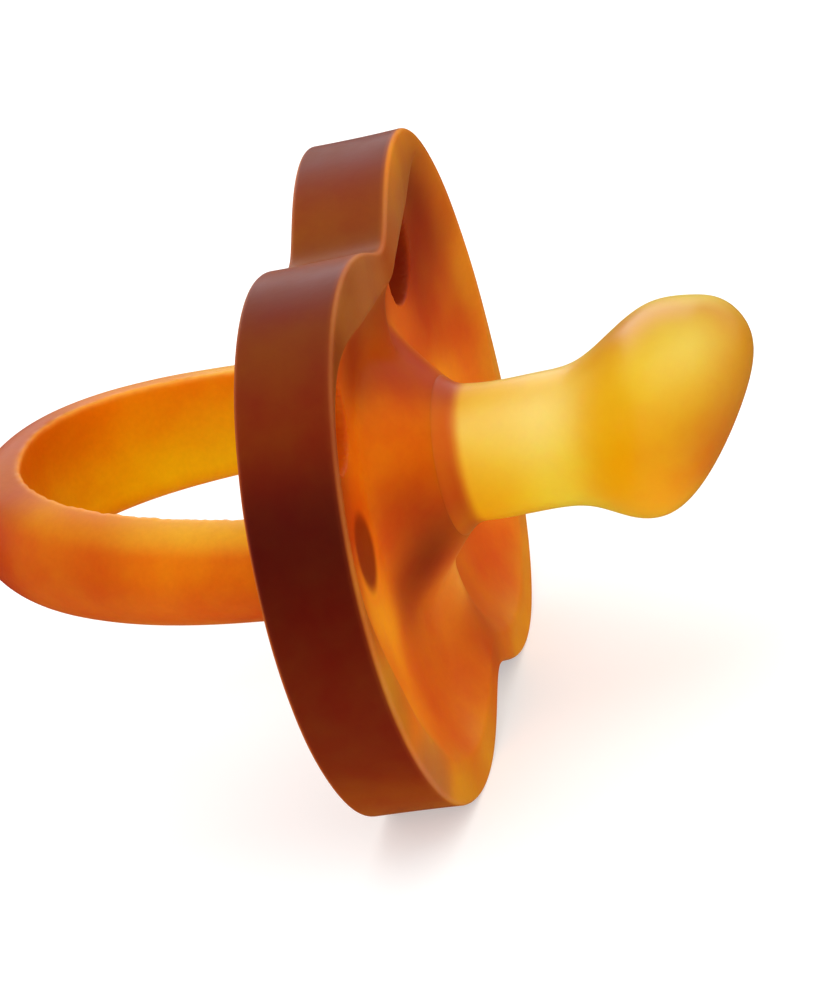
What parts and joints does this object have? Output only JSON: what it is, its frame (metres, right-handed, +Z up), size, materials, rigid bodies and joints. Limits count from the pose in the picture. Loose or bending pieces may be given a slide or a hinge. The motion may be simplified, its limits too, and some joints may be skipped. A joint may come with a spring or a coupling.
{
  "type": "pacifier",
  "caption": "Natural rubber pacifier with a butterfly shield, a hollow orthodontic teat and a soft D-shaped ring handle, standing on its shield.",
  "frame": {"origin": "bottom centre of the bounding box, on the ground under the middle of the soother as it stands on its two lobes", "axes": "+Z up, X across the shield from lobe to lobe, -Y the way the teat points, +Y the way the ring handle points"},
  "size_m": [0.0512, 0.0562, 0.0389],
  "materials": {
    "shield_rubber": "satin translucent amber-brown natural rubber",
    "teat_rubber": "satin translucent honey-yellow natural rubber",
    "ring_rubber": "satin translucent orange natural rubber",
    "plug_rubber": "satin amber natural rubber"
  },
  "bodies": {
    "shield": {"shield": "shield_rubber", "teat_plug": "plug_rubber"},
    "teat": {"teat": "teat_rubber"},
    "ring": {"ring_handle": "ring_rubber"}
  },
  "joints": [
    {"name": "teat_bend", "type": "hinge", "parent": "shield", "child": "teat", "pos_m": [0, -0.00669, 0.01962], "axis": [1, 0, 0], "range_deg": [-20, 20], "stiffness_Nm_per_rad": 0.03},
    {"name": "ring_flex", "type": "hinge", "parent": "shield", "child": "ring", "pos_m": [0, 0.00231, 0.01887], "axis": [1, 0, 0], "range_deg": [-20, 20], "stiffness_Nm_per_rad": 0.05}
  ]
}
